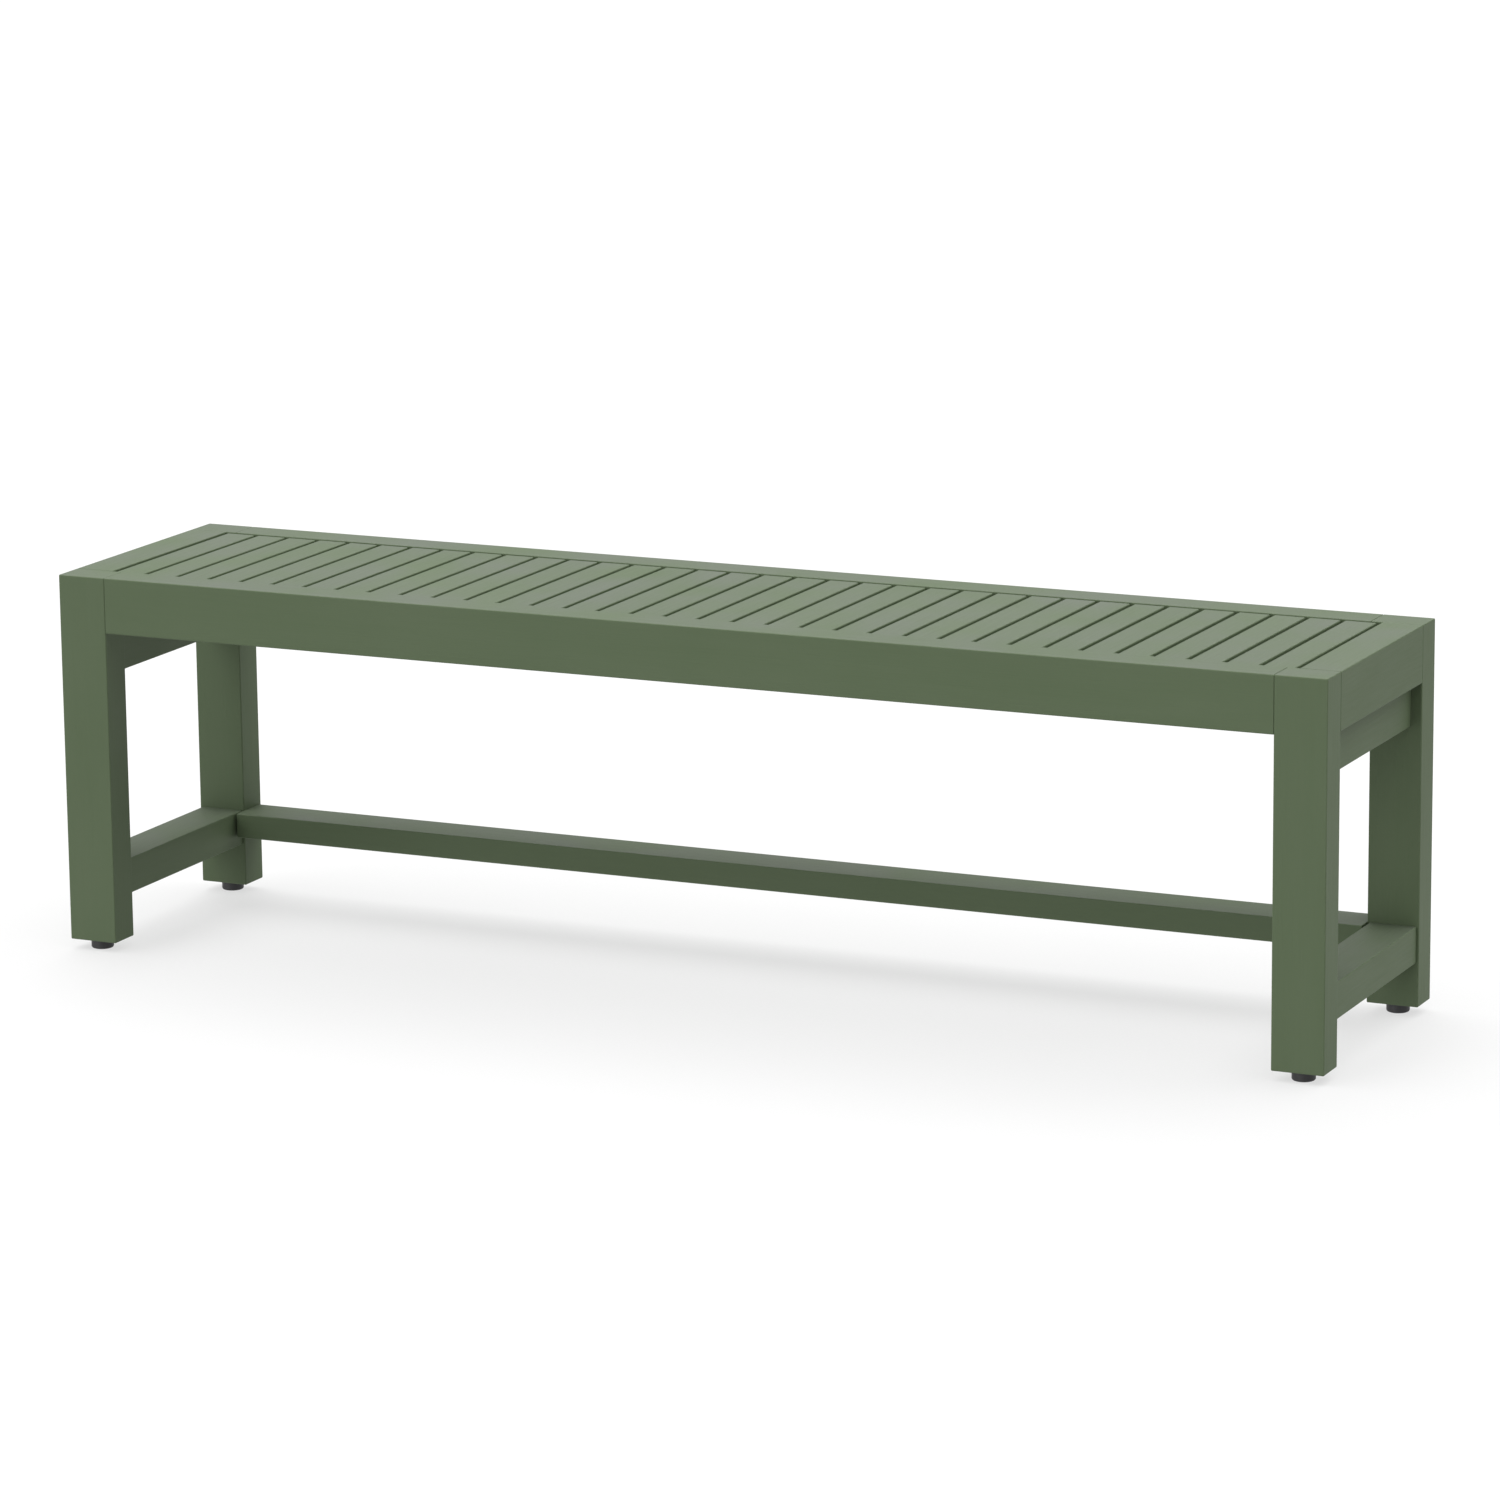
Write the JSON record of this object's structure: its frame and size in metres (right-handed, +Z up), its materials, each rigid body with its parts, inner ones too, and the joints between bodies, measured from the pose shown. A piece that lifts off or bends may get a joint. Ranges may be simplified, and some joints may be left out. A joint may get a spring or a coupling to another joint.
{
  "type": "backless bench",
  "caption": "Long backless garden bench with a seat of cross slats between rails, four square-edged legs, low stretchers and round screw feet.",
  "frame": {"origin": "on the floor under the middle of the bench, with the feet wound fully in", "axes": "+X along the seat, +Y across the seat towards the side with the long stretcher, +Z up"},
  "size_m": [1.59, 0.36, 0.457],
  "materials": {
    "frame_paint": "satin opaque sage-green paint on hardwood",
    "slat_paint": "satin opaque sage-green paint on hardwood",
    "foot_plastic": "matt moulded black nylon",
    "stud_steel": "zinc-plated steel",
    "insert_brass": "plain turned brass"
  },
  "bodies": {
    "bench": {"leg_front_left": "frame_paint", "leg_front_right": "frame_paint", "leg_rear_left": "frame_paint", "leg_rear_right": "frame_paint", "rail_front": "frame_paint", "rail_rear": "frame_paint", "end_rail_left": "frame_paint", "lower_apron_left": "frame_paint", "side_stretcher_left": "frame_paint", "end_rail_right": "frame_paint", "lower_apron_right": "frame_paint", "side_stretcher_right": "frame_paint", "long_stretcher": "frame_paint", "slat_01": "slat_paint", "slat_02": "slat_paint", "slat_03": "slat_paint", "slat_04": "slat_paint", "slat_05": "slat_paint", "slat_06": "slat_paint", "slat_07": "slat_paint", "slat_08": "slat_paint", "slat_09": "slat_paint", "slat_10": "slat_paint", "slat_11": "slat_paint", "slat_12": "slat_paint", "slat_13": "slat_paint", "slat_14": "slat_paint", "slat_15": "slat_paint", "slat_16": "slat_paint", "slat_17": "slat_paint", "slat_18": "slat_paint", "slat_19": "slat_paint", "slat_20": "slat_paint", "slat_21": "slat_paint", "slat_22": "slat_paint", "slat_23": "slat_paint", "slat_24": "slat_paint", "slat_25": "slat_paint", "slat_26": "slat_paint", "slat_27": "slat_paint", "slat_28": "slat_paint", "slat_29": "slat_paint", "slat_30": "slat_paint", "slat_31": "slat_paint", "slat_32": "slat_paint", "slat_33": "slat_paint", "slat_34": "slat_paint", "slat_35": "slat_paint", "foot_inserts": "insert_brass"},
    "foot_front_left": {"foot_pad_front_left": "foot_plastic"},
    "stud_front_left": {"foot_stud_front_left": "stud_steel"},
    "foot_front_right": {"foot_pad_front_right": "foot_plastic"},
    "stud_front_right": {"foot_stud_front_right": "stud_steel"},
    "foot_rear_left": {"foot_pad_rear_left": "foot_plastic"},
    "stud_rear_left": {"foot_stud_rear_left": "stud_steel"},
    "foot_rear_right": {"foot_pad_rear_right": "foot_plastic"},
    "stud_rear_right": {"foot_stud_rear_right": "stud_steel"}
  },
  "joints": [
    {"name": "foot_height_front_left", "type": "slide", "parent": "bench", "child": "foot_front_left", "axis": [0, 0, -1], "range_m": [0, 0.01]},
    {"name": "stud_turn_front_left", "type": "hinge", "parent": "foot_front_left", "child": "stud_front_left", "pos_m": [-0.764, -0.1585, 0], "axis": [0, 0, -1], "range_deg": [0, 2880]},
    {"name": "foot_height_front_right", "type": "slide", "parent": "bench", "child": "foot_front_right", "axis": [0, 0, -1], "range_m": [0, 0.01]},
    {"name": "stud_turn_front_right", "type": "hinge", "parent": "foot_front_right", "child": "stud_front_right", "pos_m": [0.764, -0.1585, 0], "axis": [0, 0, -1], "range_deg": [0, 2880]},
    {"name": "foot_height_rear_left", "type": "slide", "parent": "bench", "child": "foot_rear_left", "axis": [0, 0, -1], "range_m": [0, 0.01]},
    {"name": "stud_turn_rear_left", "type": "hinge", "parent": "foot_rear_left", "child": "stud_rear_left", "pos_m": [-0.764, 0.1585, 0], "axis": [0, 0, -1], "range_deg": [0, 2880]},
    {"name": "foot_height_rear_right", "type": "slide", "parent": "bench", "child": "foot_rear_right", "axis": [0, 0, -1], "range_m": [0, 0.01]},
    {"name": "stud_turn_rear_right", "type": "hinge", "parent": "foot_rear_right", "child": "stud_rear_right", "pos_m": [0.764, 0.1585, 0], "axis": [0, 0, -1], "range_deg": [0, 2880]}
  ],
  "couplings": [
    {"joint": "stud_turn_front_left", "follows": "foot_height_front_left", "rad_per_m": 5026.5},
    {"joint": "stud_turn_front_right", "follows": "foot_height_front_right", "rad_per_m": 5026.5},
    {"joint": "stud_turn_rear_left", "follows": "foot_height_rear_left", "rad_per_m": 5026.5},
    {"joint": "stud_turn_rear_right", "follows": "foot_height_rear_right", "rad_per_m": 5026.5}
  ]
}
